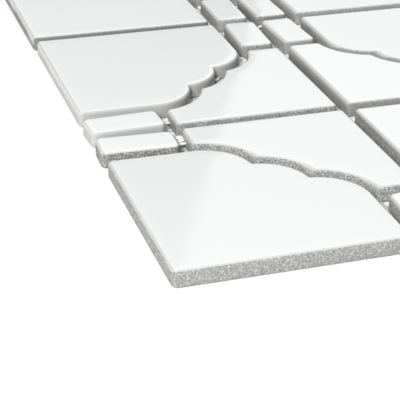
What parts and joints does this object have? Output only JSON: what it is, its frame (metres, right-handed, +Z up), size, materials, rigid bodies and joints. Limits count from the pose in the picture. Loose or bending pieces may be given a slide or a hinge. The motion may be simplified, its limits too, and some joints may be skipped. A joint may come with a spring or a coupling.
{
  "type": "porcelain mosaic tile sheet",
  "caption": "Flat sheet of white glazed porcelain mosaic: lobed and scalloped square tiles with small bars between, on a net backing.",
  "frame": {"origin": "middle of the sheet's underside", "axes": "+Z up through the glazed faces, +X and +Y along the sheet's sides"},
  "size_m": [0.3022, 0.302, 0.0048],
  "materials": {
    "glazed_porcelain": "gloss white glaze over an unglazed light grey body",
    "net_yarn": "coated glass-fibre net"
  },
  "bodies": {
    "root": {"bar_pair_x1_1": "glazed_porcelain", "bar_pair_x1_2": "glazed_porcelain", "bar_pair_x2_1": "glazed_porcelain", "bar_pair_x2_2": "glazed_porcelain", "bar_pair_x3_1": "glazed_porcelain", "bar_pair_x3_2": "glazed_porcelain", "bar_pair_x4_1": "glazed_porcelain", "bar_pair_x4_2": "glazed_porcelain", "bar_pair_y1_1": "glazed_porcelain", "bar_pair_y1_2": "glazed_porcelain", "bar_pair_y2_1": "glazed_porcelain", "bar_pair_y2_2": "glazed_porcelain", "bar_pair_y3_1": "glazed_porcelain", "bar_pair_y3_2": "glazed_porcelain", "bar_pair_y4_1": "glazed_porcelain", "bar_pair_y4_2": "glazed_porcelain", "lobed_tile_r1_c1": "glazed_porcelain", "lobed_tile_r1_c2": "glazed_porcelain", "lobed_tile_r1_c3": "glazed_porcelain", "lobed_tile_r1_c4": "glazed_porcelain", "lobed_tile_r2_c1": "glazed_porcelain", "lobed_tile_r2_c2": "glazed_porcelain", "lobed_tile_r2_c3": "glazed_porcelain", "lobed_tile_r2_c4": "glazed_porcelain", "lobed_tile_r3_c1": "glazed_porcelain", "lobed_tile_r3_c2": "glazed_porcelain", "lobed_tile_r3_c3": "glazed_porcelain", "lobed_tile_r3_c4": "glazed_porcelain", "lobed_tile_r4_c1": "glazed_porcelain", "lobed_tile_r4_c2": "glazed_porcelain", "lobed_tile_r4_c3": "glazed_porcelain", "lobed_tile_r4_c4": "glazed_porcelain", "net_cross_yarns": "net_yarn", "net_long_yarns": "net_yarn", "scalloped_four_r1_c1": "glazed_porcelain", "scalloped_four_r1_c2": "glazed_porcelain", "scalloped_four_r2_c1": "glazed_porcelain", "scalloped_four_r2_c2": "glazed_porcelain"}
  },
  "joints": []
}
